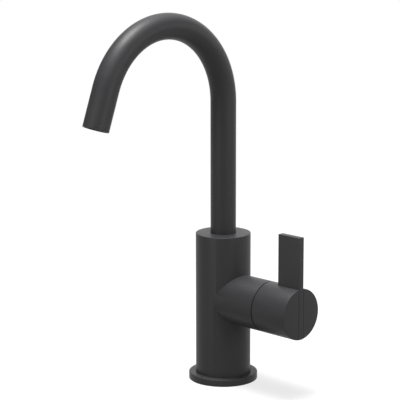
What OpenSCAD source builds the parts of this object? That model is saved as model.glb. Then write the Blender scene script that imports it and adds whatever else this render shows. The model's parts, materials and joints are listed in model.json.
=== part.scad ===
// Basin mixer tap with a gooseneck spout that swivels and a side lever, in millimetres.
// The origin is the middle of the base on the basin, +Z is up, the spout reaches over -Y
// and the handle is on the +X side. Every piece is a separate solid.

/* [Column] */
// Outer diameter of the column
body_d = 47.8; // [46:0.1:52]
// Height of the column's flat top above the basin
body_h = 130.8; // [112:0.1:160]
// Wall of the column's shell
shell_wall = 3; // [2.5:0.1:3.5]
// Thickness of the column's top plate
top_plate_t = 5; // [4:0.5:7]
// Chamfer on the column's top edge
body_edge = 0.4; // [0.2:0.1:1]

/* [Base ring] */
// Diameter of the ring that covers the tap hole
ring_d = 60; // [53:0.5:66]
// Height of the ring
ring_h = 6.2; // [4:0.1:8]
// Thickness of the ring's web, on which the column stands
ring_web = 2; // [1.4:0.1:2.4]
// Rounding of the ring's top edge
ring_edge = 0.7; // [0.3:0.1:1.2]
// Chamfer on the ring's bottom edge
ring_foot_edge = 0.4; // [0.2:0.1:0.8]
// Width of the seal under the ring
seal_w = 2.4; // [1.5:0.1:3]
// Depth of the seal's groove
seal_t = 1; // [0.6:0.1:1.1]

/* [Fixings under the base] */
// Minor radius of the M8 thread for the fixing stud
stud_r = 3.4; // [3.3:0.05:3.5]
// Depth of the stud's hole
stud_depth = 10; // [8:0.5:10]
// Distance of the stud's hole from the column's axis
stud_x = 9.5; // [9:0.5:11]
// Minor radius of the M10 x 1 threads of the two inlets
inlet_r = 4.5; // [4.4:0.05:4.6]
// Depth of the inlets' threads
inlet_depth = 10; // [8:0.5:11]
// Distance of the inlets behind the column's axis
inlet_x = -3; // [-3.5:0.5:-2.5]
// Distance of each inlet from the middle plane
inlet_y = 8; // [7.5:0.5:8.5]

/* [Side housing] */
// Height of the handle's axis above the basin
axis_z = 74.3; // [55:0.1:75]
// Diameter of the side housing and of the handle's barrel
housing_d = 44; // [41.5:0.5:47]
// Distance from the column's axis to the end of the housing
housing_end = 54; // [51:0.5:54]
// Chamfer on the housing's end and on the barrel's lip
housing_edge = 0.3; // [0.1:0.1:0.4]

/* [Cartridge] */
// Outer diameter of the cartridge
cartridge_d = 35; // [34.8:0.1:35.2]
// Distance of the stem's pivot behind the end of the housing
pivot_depth = 11; // [9.5:0.5:11]
// Distance from the pivot to the middle of the stem's nose
arm = 12.5; // [12:0.25:13]
// Radius of the stem's nose
nose_r = 3; // [2.8:0.1:3]
// Width of the square stem
stem_w = 7; // [6.8:0.1:7]
// Radius of the pivot pin
pin_r = 1.5; // [1.2:0.1:1.6]
// Thickness of the cartridge's foot
foot_t = 5; // [4.5:0.25:5.5]
// Thickness of the fixed ceramic disc
fixed_disc_t = 4; // [3.5:0.25:4.5]
// Thickness of the moving ceramic disc
moving_disc_t = 3.2; // [3:0.1:3.6]
// Radius of the moving ceramic disc
moving_disc_r = 11.8; // [11.5:0.1:11.9]
// Radius of the rotor
rotor_r = 13; // [12.8:0.1:13.2]
// Radius of each inlet port
port_r = 2.4; // [2:0.1:2.4]
// Radius of the mixed-water port
mixed_port_r = 2.8; // [2.5:0.1:3]
// Radius of the channel that carries mixed water up to the spout
riser_r = 4.2; // [3.8:0.1:4.2]

/* [Handle] */
// Width of the groove between the housing and the barrel
groove_w = 1.5; // [1:0.1:2]
// Length of the handle's barrel
barrel_len = 35.7; // [35.5:0.1:42]
// Rounding of the barrel's end
barrel_edge = 0.9; // [0.2:0.1:1.2]
// Thickness of the lever's blade
blade_t = 5.8; // [5:0.1:6.5]
// Width of the lever's blade
blade_w = 23.8; // [19:0.1:23.8]
// Height of the lever's top above the handle's axis
blade_top = 66.1; // [45:0.1:90]
// Chamfer on the blade's edges
blade_edge = 0.3; // [0.1:0.1:0.6]
// Gap on each side of the blade in its slot
blade_gap = 0.3; // [0.1:0.05:0.4]
// Radius of the handle's grub screw
grub_r = 2.5; // [2:0.1:2.8]
// Length of the handle's grub screw
grub_len = 6; // [5:0.5:8]

/* [Movements] */
// Tilt of the handle from closed to fully open, in degrees
tilt_angle = 20; // [16:1:20]
// Turn of the handle to each side of the middle, in degrees
turn_angle = 50; // [40:1:55]
// Swing of the spout to each side, in degrees
swing_angle = 60; // [30:5:75]

/* [Spout] */
// Outer diameter of the spout's tube
tube_d = 22; // [21.5:0.1:24]
// Wall of the tube
tube_wall = 1.5; // [1.2:0.1:1.6]
// Height at which the bend starts
bend_z = 245.6; // [180:0.1:260]
// Radius of the bend's centre line
bend_r = 69.3; // [50:0.1:90]
// Angle of the bend, in degrees
bend_angle = 160; // [150:1:180]
// Straight length after the bend
outlet_len = 33.4; // [20:0.1:50]
// Depth of the spout's socket in the column
socket_depth = 26; // [24.5:0.5:26]
// Wall of the spout's socket
socket_wall = 4; // [3.5:0.1:4.5]
// Radius of the stop screw
stop_r = 3; // [2.8:0.1:3.2]
// Radius of the stop screw's tip
stop_tip_r = 2; // [1.6:0.1:2.2]

/* [Outlet] */
// How far the bush and the aerator stand back inside the tube's end
mouth_recess = 0.6; // [0.2:0.1:2]
// Minor radius of the aerator's thread
aerator_r = 8.25; // [7.8:0.05:8.3]
// Width of each honeycomb cell
cell_w = 1.4; // [1.2:0.1:2]
// Wall between honeycomb cells
cell_wall = 0.35; // [0.25:0.05:0.5]

/* [Hidden] */

$fn = 96;
cut = 1; // how far a cutting shape runs past the face that it cuts
run_gap = 0.06; // radial gap of a running fit
slide_gap = 0.1; // gap on each side of a sliding fit
seat_gap = 0.05; // gap where two seated pieces meet

black = "#3a3a3b";
brass = "#c9a24a";
steel = "#b9bcc0";
rubber = "#222222";
nylon = "#e8e6df";
ceramic = "#f3efe6";
grey_plastic = "#8d9094";

// column
body_r = body_d / 2;
shell_in_r = body_r - shell_wall;
core_r = shell_in_r - slide_gap;
ring_r = ring_d / 2;
foot_h = 12;
plate_z = body_h - top_plate_t;
seal_mid_r = (shell_in_r + ring_r) / 2;

// side housing and the places along the handle's axis, from the pivot
housing_r = housing_d / 2;
pivot_x = housing_end - pivot_depth;
chamber_r = cartridge_d / 2 + 0.2;
thread_r = chamber_r + 0.8;
carrier_floor = 1.1;
nose_gap = 0.2;
carrier_x = pivot_x - arm - nose_r - nose_gap - carrier_floor;
carrier_rim = 1.5;
carrier_top = pivot_x - arm + carrier_rim;
moving_disc_x = carrier_x - moving_disc_t;
fixed_disc_x = moving_disc_x - fixed_disc_t;
seat_x = fixed_disc_x - foot_t;
seat_block_t = 13;
flange_x = carrier_top + 0.3;
flange_t = 2.7;
shoulder_x = pivot_x + 2;
neck_top = pivot_x + 5.9;
rotor_top = pivot_x + 6.5;
nut_t = 6.5;
nut_top = shoulder_x + nut_t;

// cartridge radii
cartridge_r = cartridge_d / 2;
slide_travel = arm * sin(tilt_angle);
disc_chamber_r = moving_disc_r + slide_travel + 0.2;
fixed_disc_r = disc_chamber_r - 0.3;
neck_r = rotor_r + 2.2;
flange_r = disc_chamber_r - 0.4;
port_y = 6;
port_z = 4.8;
mixed_port_z = -4.6;
port_seal_w = 1.5;
port_seal_t = 1.2;
lug_y = 10.5;
lug_z = -5;
lug_r = 1.5;
lug_len = 2;
key_r = 1.2;
key_in = 1; // how far the keys stand in from the disc's rim
riser_x = 3.5;
carrier_half_w = 8.5;
carrier_pin_y = 5;
carrier_pin_z = 7;
carrier_pin_r = 1.2;
cheek_y = carrier_half_w + slide_gap; // the rotor's cheeks guide the carrier on each side
cheek_lift = 1.2;

// handle
corner_r = norm([pivot_depth, housing_r]);
cup_r = corner_r + 0.35;
dome_r = corner_r - 0.95;
dome_t = 1.6;
barrel_x = housing_end + groove_w;
barrel_end = barrel_x + barrel_len;
slot_x = barrel_end - blade_w;
slot_w = blade_t + 2 * blade_gap;
barrel_web = 1.3; // the least wall between the barrel's cup and the blade's slot
boss_r = 6;
boss_lift = 12;
boss_x = pivot_x + boss_lift;
dome_hole_r = dome_r * sin(tilt_angle + asin(boss_r / dome_r) + 1.3);
stem_grip = 9;
stem_end = slot_x + stem_grip;
grub_x = slot_x + stem_grip / 2;
plug_t = 2.2;
plug_depth = 0.4;

// spout
tube_r = tube_d / 2;
bore_r = tube_r - tube_wall;
socket_r = tube_r + 0.08;
socket_z = body_h - socket_depth;
washer_t = 1;
spigot_z = socket_z + washer_t + seat_gap;
spigot_len = 19;
spigot_top = spigot_z + spigot_len;
nipple_len = 8;
nipple_r = bore_r - seat_gap;
spigot_bore_r = nipple_r - 1.9;
o_ring_r = 1;
o_ring_gaps = [3.2, 6.6];
stop_lift = 11;
stop_z = spigot_z + stop_lift;
slip_ring_lift = 14.6;
slip_ring_z = spigot_z + slip_ring_lift;
slip_ring_h = 3;
groove_floor_r = tube_r - 2.1;
stop_tip_y = groove_floor_r + 0.15;
stop_arc = swing_angle + atan((stop_tip_r + slide_gap) / stop_tip_y);
end_swell = 0.04; // the tube's straight end is sized this much wider, for the bush
end_lap = 0.3; // and the sizing starts this far before the bend's end

// outlet, measured along its own axis from the face of the bush
bush_len = 12;
thread_len = 9;
aerator_in_r = aerator_r - 1.25;
insert_lift = 0.6; // how far the insert stands back from the face
insert_t = 5;
screen_t = 0.5;
washer_len = 1;

// Places children with their +Z along the handle's axis, from a distance x off the column's axis
module on_axis(x) {
    translate([x, 0, axis_z]) rotate([0, 90, 0]) children();
}

// Places children at a port of the cartridge, y across and z above the handle's axis, with their
// +Z away from the column
module at_port(x, y, z) {
    translate([x, y, axis_z + z]) rotate([0, 90, 0]) children();
}

// Places children with their +Z out of the spout, from the face of the bush inside the tube's end
module at_mouth() {
    translate([0, -bend_r, bend_z]) rotate([bend_angle, 0, 0])
        translate([0, bend_r, outlet_len - mouth_recess]) children();
}

module ring(r_out, r_in, h) {
    difference() {
        cylinder(h = h, r = r_out);
        translate([0, 0, -cut]) cylinder(h = h + 2 * cut, r = r_in);
    }
}

// A cylinder whose far edge has a chamfer
module edged(r, h, e) {
    cylinder(h = h - e, r = r);
    translate([0, 0, h - e]) cylinder(h = e, r1 = r, r2 = r - e);
}

// A cylinder whose far edge is rounded
module rounded(r, h, e) {
    rotate_extrude() union() {
        polygon([[0, 0], [r, 0], [r, h - e], [r - e, h], [0, h]]);
        translate([r - e, h - e]) circle(r = e);
    }
}

// A ring cut out of a cylinder, as a groove for a seal
module groove(r_out, r_in, h) {
    difference() {
        cylinder(h = h, r = r_out + cut);
        translate([0, 0, -cut]) cylinder(h = h + 2 * cut, r = r_in);
    }
}

// A part of a ring, in degrees to each side of the direction at
module ring_part(r_in, r_out, h, half, at) {
    rotate([0, 0, at - half]) rotate_extrude(angle = 2 * half)
        translate([r_in, 0]) square([r_out - r_in, h]);
}

module hex_socket(width, depth) {
    cylinder(h = depth, d = width / cos(30), $fn = 6);
}

module body_shell() {
    color(black) difference() {
        union() {
            translate([0, 0, ring_web]) edged(body_r, body_h - ring_web, body_edge);
            on_axis(0) edged(housing_r, housing_end, housing_edge);
        }
        translate([0, 0, -cut]) cylinder(h = plate_z + cut, r = shell_in_r);
        on_axis(0) cylinder(h = housing_end + cut, r = chamber_r);
        on_axis(shoulder_x) cylinder(h = housing_end, r = thread_r);
        cylinder(h = body_h + cut, r = socket_r);
        translate([0, 0, stop_z]) rotate([-90, 0, 0]) cylinder(h = body_r + cut, r = stop_r + seat_gap);
    }
}

module waterway_core() {
    color(brass) difference() {
        union() {
            cylinder(h = foot_h, r = core_r);
            for (side = [-1, 1]) translate([inlet_x, side * inlet_y, foot_h - seat_gap])
                cylinder(h = axis_z + port_z + port_r + 2 - foot_h, r = inlet_r + 1.5);
            intersection() {
                on_axis(seat_x - seat_block_t) cylinder(h = seat_block_t, r = cartridge_r);
                cylinder(h = body_h, r = core_r);
            }
            translate([riser_x, 0, axis_z + mixed_port_z - riser_r])
                cylinder(h = socket_z - axis_z - mixed_port_z + riser_r, r = riser_r + 3);
            translate([0, 0, socket_z - socket_wall])
                cylinder(h = plate_z - socket_z + socket_wall, r = socket_r + socket_wall);
        }
        translate([0, 0, socket_z]) cylinder(h = body_h, r = socket_r);
        translate([stud_x, 0, -cut]) cylinder(h = stud_depth + cut, r = stud_r);
        for (side = [-1, 1]) {
            translate([inlet_x, side * inlet_y, -cut]) cylinder(h = inlet_depth + cut, r = inlet_r);
            translate([inlet_x, side * inlet_y, 0]) cylinder(h = axis_z + port_z, r = port_r + 0.8);
            inlet_bore(side);
        }
        translate([riser_x, 0, axis_z + mixed_port_z])
            cylinder(h = socket_z - axis_z - mixed_port_z + cut, r = riser_r);
        at_port(riser_x, 0, mixed_port_z) cylinder(h = seat_x, r = mixed_port_r);
        // the room for the cartridge
        on_axis(seat_x) cylinder(h = housing_end, r = chamber_r);
        for (side = [-1, 1]) at_port(seat_x - lug_len - 0.3, side * lug_y, lug_z)
            cylinder(h = lug_len + cut, r = lug_r + seat_gap);
        translate([0, 0, stop_z]) rotate([-90, 0, 0]) {
            cylinder(h = body_r, r = stop_tip_r + slide_gap);
            translate([0, 0, socket_r + 1.5]) cylinder(h = body_r, r = stop_r + seat_gap);
        }
    }
}

// The slanting bore from an inlet's column to its port at the cartridge's seat
module inlet_bore(side) {
    run = seat_x - inlet_x;
    slant = atan((inlet_y - port_y) / run);
    translate([inlet_x, side * inlet_y, axis_z + port_z]) rotate([0, 90, -side * slant])
        cylinder(h = run / cos(slant) + cut, r = port_r);
}

module base_ring() {
    color(black) difference() {
        rotate_extrude() union() {
            polygon([[0, 0], [ring_r - ring_foot_edge, 0], [ring_r, ring_foot_edge],
                [ring_r, ring_h - ring_edge], [ring_r - ring_edge, ring_h], [0, ring_h]]);
            translate([ring_r - ring_edge, ring_h - ring_edge]) circle(r = ring_edge);
        }
        translate([0, 0, -cut]) cylinder(h = ring_h + 2 * cut, r = shell_in_r);
        translate([0, 0, ring_web]) cylinder(h = ring_h, r = body_r + slide_gap);
        translate([0, 0, -cut]) ring(seal_mid_r + seal_w / 2, seal_mid_r - seal_w / 2, seal_t + cut);
    }
}

module base_seal() {
    color(rubber) ring(seal_mid_r + seal_w / 2 - seat_gap, seal_mid_r - seal_w / 2 + seat_gap, seal_t);
}

module cartridge_base() {
    color(grey_plastic) difference() {
        union() {
            on_axis(seat_x) cylinder(h = foot_t, r = cartridge_r);
            for (side = [-1, 1]) {
                at_port(seat_x - lug_len, side * lug_y, lug_z) cylinder(h = lug_len + 1, r = lug_r);
                at_port(fixed_disc_x - 1, side * (fixed_disc_r - key_in), 0) cylinder(h = 4, r = key_r);
            }
        }
        for (side = [-1, 1]) port_cut(side * port_y, port_z, port_r);
        port_cut(0, mixed_port_z, mixed_port_r);
    }
}

// A port through the cartridge's foot, with the recess for its seal
module port_cut(y, z, r) {
    at_port(seat_x - cut, y, z) cylinder(h = foot_t + 2 * cut, r = r);
    at_port(seat_x - cut, y, z) cylinder(h = port_seal_t + cut, r = r + port_seal_w);
}

module cartridge_seals() {
    color(rubber) {
        for (side = [-1, 1]) at_port(seat_x, side * port_y, port_z) port_seal(port_r);
        at_port(seat_x, 0, mixed_port_z) port_seal(mixed_port_r);
    }
}

module port_seal(r) {
    ring(r + port_seal_w - seat_gap, r + 0.1, port_seal_t - seat_gap);
}

module fixed_disc() {
    color(ceramic) difference() {
        on_axis(fixed_disc_x) cylinder(h = fixed_disc_t, r = fixed_disc_r);
        for (side = [-1, 1]) {
            at_port(fixed_disc_x - cut, side * port_y, port_z)
                cylinder(h = fixed_disc_t + 2 * cut, r = port_r);
            at_port(fixed_disc_x - cut, side * (fixed_disc_r - key_in), 0)
                cylinder(h = fixed_disc_t + 2 * cut, r = key_r + 0.2);
        }
        at_port(fixed_disc_x - cut, 0, mixed_port_z) cylinder(h = fixed_disc_t + 2 * cut, r = mixed_port_r);
    }
}

module cartridge_body() {
    color(grey_plastic) {
        on_axis(fixed_disc_x) difference() {
            union() {
                cylinder(h = shoulder_x - fixed_disc_x, r = cartridge_r);
                cylinder(h = neck_top - fixed_disc_x, r = neck_r);
            }
            translate([0, 0, -cut])
                cylinder(h = flange_x + flange_t + slide_gap - fixed_disc_x + cut, r = disc_chamber_r);
            cylinder(h = neck_top, r = rotor_r + run_gap);
        }
        // the stop of the temperature range, over the rotor's flange
        on_axis(flange_x) ring_part(flange_r - 1.6, cartridge_r - 0.3, flange_t + 0.5, 6, 180);
    }
}

module retaining_nut() {
    color(brass) on_axis(shoulder_x) difference() {
        cylinder(h = nut_t, r = thread_r - seat_gap);
        translate([0, 0, -cut]) cylinder(h = nut_t + 2 * cut, r = neck_r + 0.3);
        for (i = [0 : 5]) rotate([0, 0, 60 * i]) translate([neck_r - 1, -1.5, nut_t - 2.5])
            cube([thread_r, 3, 2.5 + cut]);
    }
}

module dome_cover() {
    color(black) difference() {
        union() {
            intersection() {
                on_axis(pivot_x) sphere(r = dome_r);
                on_axis(housing_end) cylinder(h = dome_r, r = dome_r);
            }
            on_axis(nut_top) cylinder(h = housing_end - nut_top + cut, r = thread_r - slide_gap);
        }
        on_axis(pivot_x) sphere(r = dome_r - dome_t);
        on_axis(nut_top - cut) cylinder(h = housing_end - nut_top + 2 * cut, r = thread_r - dome_t);
        on_axis(pivot_x) cylinder(h = 2 * dome_r, r = dome_hole_r);
    }
}

module spout_stop_screw() {
    color(steel) difference() {
        translate([0, 0, stop_z]) rotate([-90, 0, 0]) {
            translate([0, 0, stop_tip_y]) cylinder(h = body_r - 2 - stop_tip_y, r = stop_tip_r);
            translate([0, 0, socket_r + 1.6]) cylinder(h = body_r - 0.6 - socket_r - 1.6, r = stop_r);
        }
        translate([0, body_r - 0.6 + cut, stop_z]) rotate([90, 0, 0]) hex_socket(3, 3 + cut);
    }
}

module spout_thrust_washer() {
    color(nylon) translate([0, 0, socket_z]) ring(tube_r - 0.1, tube_r - 3, washer_t);
}

// The opening in which the stem tilts, in the plane of the tilt, from the pivot
module tilt_slot() {
    w = stem_w / 2 + slide_gap;
    near = w * tan(tilt_angle / 2);
    up = rotor_top - pivot_x + cut;
    down = arm + nose_r;
    polygon([[up, w], [near, w], [-down, (w + down * sin(tilt_angle)) / cos(tilt_angle)], [-down, -w],
        [-near, -w], [up, -(w + up * sin(tilt_angle)) / cos(tilt_angle)]]);
}

// Extrudes a shape drawn in the plane of the tilt, x along the handle's axis and y up, to each side
module across(half) {
    translate([pivot_x, half, axis_z]) rotate([90, 0, 0]) linear_extrude(height = 2 * half) children();
}

module cartridge_rotor() {
    color(nylon) difference() {
        union() {
            on_axis(flange_x) cylinder(h = flange_t, r = flange_r);
            on_axis(flange_x) cylinder(h = rotor_top - flange_x, r = rotor_r);
            difference() {
                on_axis(carrier_x + cheek_lift) cylinder(h = flange_x - carrier_x, r = rotor_r + 0.4);
                translate([carrier_x, -cheek_y, axis_z - 2 * rotor_r])
                    cube([flange_x - carrier_x, 2 * cheek_y, 4 * rotor_r]);
            }
        }
        across(stem_w / 2 + slide_gap) tilt_slot();
        on_axis(flange_x - cut)
            ring_part(flange_r - 1.9, flange_r + 2, flange_t + cut, turn_angle + 6.5, 180);
        on_axis(flange_x + flange_t + 1.2) groove(rotor_r, rotor_r - 1.95, 2.2);
        translate([pivot_x, rotor_r + cut, axis_z]) rotate([90, 0, 0])
            cylinder(h = 2 * rotor_r + 2 * cut, r = pin_r + 0.03);
    }
}

module rotor_o_ring() {
    color(rubber) on_axis(flange_x + flange_t + 2.3) rotate_extrude()
        translate([rotor_r - 0.96, 0]) circle(r = 0.98);
}

module pivot_pin() {
    color(steel) translate([pivot_x, rotor_r - 0.6, axis_z]) rotate([90, 0, 0])
        cylinder(h = 2 * rotor_r - 1.2, r = pin_r);
}

module moving_disc() {
    color(ceramic) difference() {
        on_axis(moving_disc_x) cylinder(h = moving_disc_t, r = moving_disc_r);
        // the pocket in which the water mixes, clear of both inlet ports while the tap is closed
        intersection() {
            on_axis(moving_disc_x - cut) cylinder(h = 1.6 + cut, r = moving_disc_r - 1.4);
            translate([moving_disc_x - cut, -moving_disc_r, axis_z - moving_disc_r])
                cube([moving_disc_t, 2 * moving_disc_r, moving_disc_r + port_z - port_r - 0.2]);
        }
        for (side = [-1, 1]) at_port(carrier_x - 1.3, side * carrier_pin_y, carrier_pin_z)
            cylinder(h = 1.3 + cut, r = carrier_pin_r + seat_gap);
    }
}

module disc_carrier() {
    color(grey_plastic) difference() {
        union() {
            intersection() {
                on_axis(carrier_x) cylinder(h = carrier_top - carrier_x, r = moving_disc_r);
                translate([carrier_x, -carrier_half_w, axis_z - moving_disc_r])
                    cube([carrier_top - carrier_x, 2 * carrier_half_w, 2 * moving_disc_r]);
            }
            for (side = [-1, 1]) at_port(carrier_x - 1.2, side * carrier_pin_y, carrier_pin_z)
                cylinder(h = 2, r = carrier_pin_r);
        }
        translate([carrier_x + carrier_floor, -stem_w / 2 - slide_gap, axis_z - nose_r - slide_gap])
            cube([carrier_top, stem_w + 2 * slide_gap, 2 * (nose_r + slide_gap)]);
    }
}

module cartridge_stem() {
    neck = nose_r - 0.8;
    side = stem_w / 2;
    top = stem_end - pivot_x;
    color(brass) difference() {
        union() {
            across(side) translate([-arm, 0]) circle(r = nose_r);
            across(side) polygon([[-arm, neck], [3.2 - arm, neck], [4.2 - arm, side], [top - 0.5, side],
                [top, side - 0.5], [top, 0.5 - side], [top - 0.5, -side], [4.2 - arm, -side],
                [3.2 - arm, -neck], [-arm, -neck]]);
        }
        translate([pivot_x, stem_w, axis_z]) rotate([90, 0, 0])
            cylinder(h = 2 * stem_w, r = pin_r + seat_gap);
    }
}

module handle_barrel() {
    color(black) difference() {
        union() {
            difference() {
                on_axis(barrel_x) rounded(housing_r, barrel_len, barrel_edge);
                intersection() {
                    on_axis(pivot_x) sphere(r = cup_r);
                    on_axis(0) cylinder(h = slot_x - barrel_web, r = 2 * cup_r);
                }
            }
            on_axis(boss_x) cylinder(h = slot_x - boss_x, r = boss_r);
        }
        translate([boss_x - cut, -stem_w / 2 - seat_gap, axis_z - stem_w / 2 - seat_gap])
            cube([stem_end - boss_x + 2 * cut, stem_w + 2 * seat_gap, stem_w + 2 * seat_gap]);
        translate([slot_x, -slot_w / 2, axis_z - housing_d]) cube([blade_w + cut, slot_w, 2 * housing_d]);
        translate([grub_x, 0, axis_z]) rotate([-90, 0, 0]) cylinder(h = housing_d, r = grub_r + seat_gap);
    }
}

// The blade seen from its broad side, with its corners cut back by e
module blade_side(e) {
    low = -housing_r;
    polygon([[slot_x, low], [barrel_end - e, low], [barrel_end, low + e], [barrel_end, blade_top - e],
        [barrel_end - e, blade_top], [slot_x + e, blade_top], [slot_x, blade_top - e]]);
}

module lever_blade() {
    color(black) difference() {
        intersection() {
            translate([0, blade_t / 2, axis_z]) rotate([90, 0, 0]) linear_extrude(height = blade_t)
                blade_side(blade_edge);
            union() {
                on_axis(slot_x) cylinder(h = blade_w, r = housing_r);
                translate([slot_x, -blade_t, axis_z]) cube([blade_w, 2 * blade_t, blade_top]);
            }
        }
        translate([slot_x - cut, -blade_t, axis_z - stem_w / 2 - 0.3])
            cube([stem_end - slot_x + cut + 0.3, 2 * blade_t, stem_w + 0.6]);
    }
}

module handle_grub_screw() {
    y = stem_w / 2 + seat_gap;
    color(steel) difference() {
        translate([grub_x, y, axis_z]) rotate([-90, 0, 0]) cylinder(h = grub_len, r = grub_r);
        translate([grub_x, y + grub_len + cut, axis_z]) rotate([90, 0, 0]) hex_socket(grub_r, 2.5 + cut);
    }
}

module screw_plug() {
    color(rubber) translate([grub_x, housing_r - plug_depth - plug_t, axis_z]) rotate([-90, 0, 0])
        edged(grub_r, plug_t, 0.3);
}

module spout_tube() {
    color(black) {
        difference() {
            tube_path(tube_r, 0);
            tube_path(bore_r, cut);
        }
    }
}

// The spout's path filled with a round bar, run past both ends by a distance over
module tube_path(r, over) {
    translate([0, 0, spigot_top - over]) cylinder(h = bend_z - spigot_top + over, r = r);
    translate([0, -bend_r, bend_z]) rotate([90, 0, 90]) rotate_extrude(angle = bend_angle)
        translate([bend_r, 0]) circle(r = r);
    translate([0, -bend_r, bend_z]) rotate([bend_angle, 0, 0]) translate([0, bend_r, -end_lap])
        cylinder(h = end_lap + outlet_len + over, r = r + end_swell);
}

module spout_spigot() {
    color(brass) difference() {
        union() {
            translate([0, 0, spigot_z]) cylinder(h = spigot_top - spigot_z, r = tube_r);
            translate([0, 0, spigot_top - 1]) cylinder(h = nipple_len + 1, r = nipple_r);
        }
        translate([0, 0, spigot_z - cut])
            cylinder(h = spigot_top + nipple_len - spigot_z + 2 * cut, r = spigot_bore_r);
        for (gap = o_ring_gaps) translate([0, 0, spigot_z + gap - 1.2])
            groove(tube_r, tube_r - 1.95, 2.4);
        translate([0, 0, slip_ring_z]) groove(tube_r, tube_r - 1, slip_ring_h);
        translate([0, 0, stop_z - stop_tip_r - slide_gap])
            ring_part(groove_floor_r, tube_r + cut, 2 * (stop_tip_r + slide_gap), stop_arc, 90);
    }
}

module spout_o_rings() {
    color(rubber) for (gap = o_ring_gaps) translate([0, 0, spigot_z + gap]) rotate_extrude()
        translate([tube_r - 0.96, 0]) circle(r = 0.98);
}

module spout_slip_ring() {
    color(nylon) translate([0, 0, slip_ring_z + seat_gap])
        ring(tube_r + 0.03, tube_r - 1 + seat_gap, slip_ring_h - 2 * seat_gap);
}

module outlet_bush() {
    color(black) at_mouth() difference() {
        translate([0, 0, -bush_len]) cylinder(h = bush_len, r = bore_r);
        translate([0, 0, -bush_len - cut]) cylinder(h = bush_len + 2 * cut, r = aerator_in_r);
        translate([0, 0, -thread_len]) cylinder(h = thread_len + cut, r = aerator_r);
    }
}

module aerator_washer() {
    color(rubber) at_mouth() translate([0, 0, -thread_len])
        ring(aerator_r - 0.1, aerator_in_r + 0.1, washer_len);
}

module aerator_housing() {
    h = thread_len - washer_len;
    color(black) at_mouth() translate([0, 0, -h]) difference() {
        cylinder(h = h, r = aerator_r - seat_gap);
        translate([0, 0, -cut]) cylinder(h = h + 2 * cut, r = aerator_in_r);
        for (i = [0 : 3]) rotate([0, 0, 90 * i]) translate([aerator_in_r - cut, -0.8, h - 1.2])
            cube([aerator_r, 1.6, 1.2 + cut]);
    }
}

module aerator_insert() {
    pitch = cell_w + cell_wall;
    reach = aerator_in_r - seat_gap - cell_w / 2 - 0.7;
    n = ceil(reach / pitch) + 2;
    color(grey_plastic) at_mouth() translate([0, 0, -insert_lift - insert_t]) difference() {
        cylinder(h = insert_t, r = aerator_in_r - seat_gap);
        for (i = [-n : n], j = [-n : n]) {
            x = pitch * (i + j / 2);
            y = pitch * j * sqrt(3) / 2;
            if (norm([x, y]) < reach) translate([x, y, -cut]) rotate([0, 0, 30])
                cylinder(h = insert_t + 2 * cut, d = cell_w / cos(30), $fn = 6);
        }
    }
}

module aerator_screen() {
    pitch = 1.6;
    reach = aerator_in_r - 1.4;
    n = ceil(reach / pitch);
    color(steel) at_mouth() translate([0, 0, -insert_lift - insert_t - screen_t]) difference() {
        cylinder(h = screen_t, r = aerator_in_r - seat_gap);
        for (i = [-n : n], j = [-n : n]) if (norm([i, j]) * pitch < reach)
            translate([i * pitch - 0.5, j * pitch - 0.5, -cut]) cube([1, 1, screen_t + 2 * cut]);
    }
}

body_shell();
waterway_core();
base_ring();
base_seal();
cartridge_base();
cartridge_seals();
fixed_disc();
cartridge_body();
retaining_nut();
dome_cover();
spout_stop_screw();
spout_thrust_washer();
cartridge_rotor();
rotor_o_ring();
pivot_pin();
moving_disc();
disc_carrier();
cartridge_stem();
handle_barrel();
lever_blade();
handle_grub_screw();
screw_plug();
spout_tube();
spout_spigot();
spout_o_rings();
spout_slip_ring();
outlet_bush();
aerator_washer();
aerator_screen();
aerator_insert();
aerator_housing();
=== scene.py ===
"""The looks of a basin mixer tap: a column with a side housing, a gooseneck spout and a side lever.

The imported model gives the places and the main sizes. The pieces that show are built anew with fine
edges, ride on the model's bodies and replace its nodes. The inner pieces keep their solids and get
a finish.
"""

import json
import logging
from dataclasses import dataclass
from enum import Enum
from functools import lru_cache
from math import acos, asin, cos, hypot, pi, radians, sin, sqrt, tan, tau
from typing import Iterator, Sequence

import bmesh
import bpy
from mathutils import Euler, Matrix, Vector


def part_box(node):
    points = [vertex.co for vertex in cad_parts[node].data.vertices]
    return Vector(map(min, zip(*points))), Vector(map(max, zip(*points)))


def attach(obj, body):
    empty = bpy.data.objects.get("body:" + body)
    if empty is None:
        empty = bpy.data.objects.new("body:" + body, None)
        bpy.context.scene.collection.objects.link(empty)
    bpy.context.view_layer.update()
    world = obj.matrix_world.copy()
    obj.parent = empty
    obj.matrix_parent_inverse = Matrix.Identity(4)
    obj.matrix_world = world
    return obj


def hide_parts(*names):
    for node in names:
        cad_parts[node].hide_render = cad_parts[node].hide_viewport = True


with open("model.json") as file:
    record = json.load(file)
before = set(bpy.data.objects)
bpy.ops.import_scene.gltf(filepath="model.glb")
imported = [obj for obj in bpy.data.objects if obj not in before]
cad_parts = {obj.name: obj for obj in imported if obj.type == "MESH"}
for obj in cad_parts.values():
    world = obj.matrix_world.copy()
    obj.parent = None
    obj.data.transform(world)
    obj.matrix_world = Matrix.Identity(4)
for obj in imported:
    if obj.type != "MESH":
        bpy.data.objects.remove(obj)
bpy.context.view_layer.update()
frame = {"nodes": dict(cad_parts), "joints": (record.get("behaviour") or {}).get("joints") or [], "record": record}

LOG = logging.getLogger("basin_mixer_tap")
MM = 0.001
ROUND = 192  # segments round a turned piece
CORNER_STEPS = 5  # straight steps in a rounded corner of an outline
EDGE_STEPS = 3  # faces across an edge that soften rounds
THREAD_STEPS = 48  # segments in each turn of a thread
RIDGE_SIDES = 3  # sides of a thread's ridge
POLE = 1e-7  # a radius below this is a point on the axis
MEET = 1e-7  # corners of a new mesh that are closer than this are one
WELD = 1e-6  # points of a cut mesh that are closer than this are one
OVERRUN = 5.0 * MM  # how far a cutting tool passes the surface
FIT = 0.05 * MM  # the gap round a piece that is screwed, pressed or pushed in
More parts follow.
